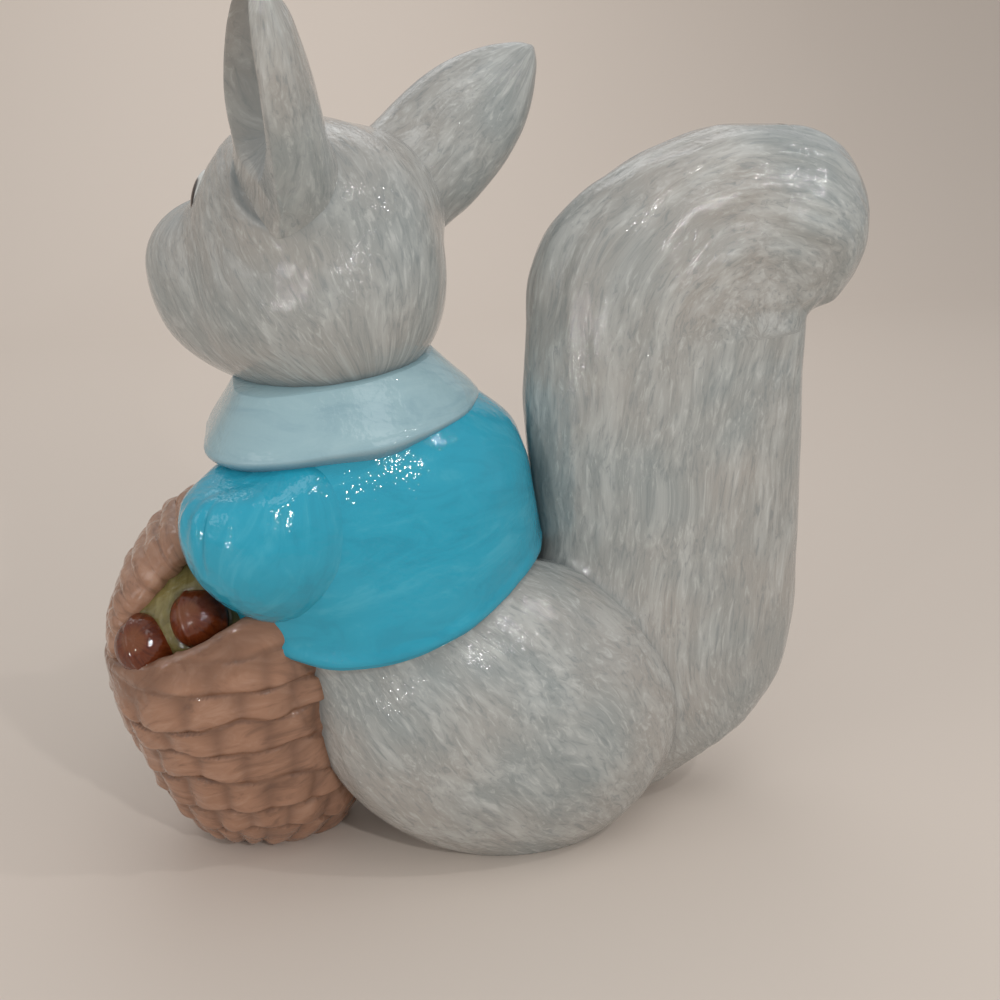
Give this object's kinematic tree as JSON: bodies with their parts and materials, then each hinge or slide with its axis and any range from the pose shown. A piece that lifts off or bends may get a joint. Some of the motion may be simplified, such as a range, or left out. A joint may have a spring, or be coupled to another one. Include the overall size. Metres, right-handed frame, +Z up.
{
  "type": "squirrel figurine",
  "caption": "Free-standing glazed ceramic animal ornament: a seated squirrel in a short jacket that holds a woven basket of chestnuts.",
  "frame": {"origin": "on the ground, on the body's flat foot between the haunches", "axes": "+Z up, -Y the way the squirrel's body faces, +X its left side; the head is turned towards -X"},
  "size_m": [0.1275, 0.2762, 0.2921],
  "materials": {
    "fur_glaze": "grey brush strokes under a clear gloss glaze",
    "turquoise_glaze": "turquoise gloss glaze",
    "pale_blue_glaze": "pale blue gloss glaze",
    "basket_glaze": "brown gloss glaze over woven relief",
    "olive_glaze": "olive gloss glaze",
    "eye_glaze": "white gloss glaze with a dark pupil",
    "nose_glaze": "dark brown gloss glaze",
    "chestnut_glaze": "red-brown gloss glaze"
  },
  "bodies": {
    "root": {"basket": "basket_glaze", "basket_handle": "basket_glaze", "basket_lining": "olive_glaze", "body_casting": "fur_glaze", "collar": "pale_blue_glaze", "head_casting": "fur_glaze", "jacket": "turquoise_glaze", "left_ear": "fur_glaze", "left_eye": "eye_glaze", "left_front_chestnut": "chestnut_glaze", "left_rear_chestnut": "chestnut_glaze", "left_sleeve": "turquoise_glaze", "nose": "nose_glaze", "right_ear": "fur_glaze", "right_eye": "eye_glaze", "right_front_chestnut": "chestnut_glaze", "right_rear_chestnut": "chestnut_glaze", "right_sleeve": "turquoise_glaze", "tail_casting": "fur_glaze"}
  },
  "joints": []
}
